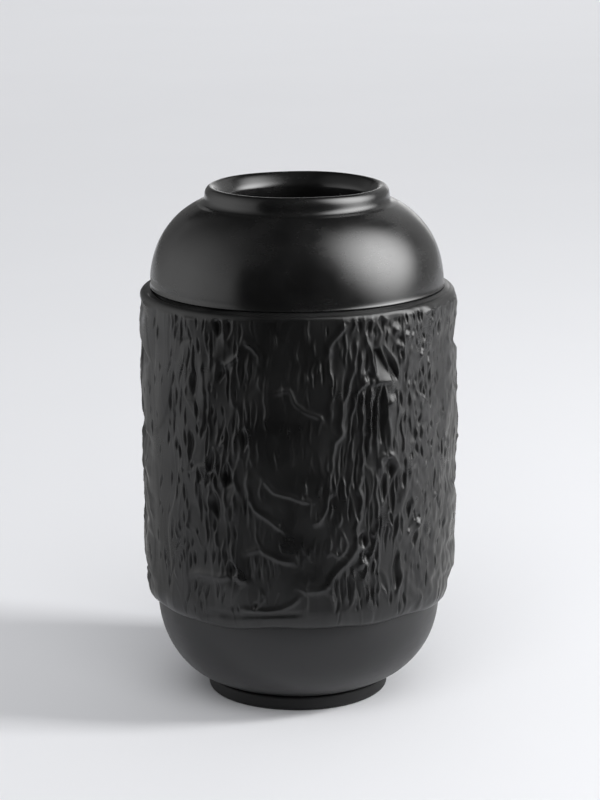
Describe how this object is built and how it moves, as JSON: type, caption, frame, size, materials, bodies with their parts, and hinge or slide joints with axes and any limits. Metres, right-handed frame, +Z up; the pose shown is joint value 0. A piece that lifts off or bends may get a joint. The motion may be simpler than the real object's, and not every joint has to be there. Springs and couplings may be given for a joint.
{
  "type": "clay vase",
  "caption": "Barrel-shaped black clay vase with a domed shoulder, a thick rounded rim, a raised bark-textured band round the body and a low foot ring.",
  "frame": {"origin": "centre of the circle that the foot ring stands on, at ground level", "axes": "+Z up along the pot's axis, through the mouth; -Y is the side seen from the front and +X is to the viewer's right"},
  "size_m": [0.183, 0.1832, 0.3],
  "materials": {
    "rim_collar": "burnished, satin to metallic sheen",
    "shoulder_dome": "burnished, satin to metallic sheen",
    "bark_band": "pressed bark relief, semi-matte",
    "body_wall": "unpolished clay, matte",
    "lower_bowl": "smoothed, matte",
    "floor_disc": "unpolished clay, matte",
    "foot_ring": "smoothed, matte"
  },
  "bodies": {
    "root": {"rim_collar": "rim_collar", "shoulder_dome": "shoulder_dome", "bark_band": "bark_band", "body_wall": "body_wall", "lower_bowl": "lower_bowl", "floor_disc": "floor_disc", "foot_ring": "foot_ring"}
  },
  "joints": []
}
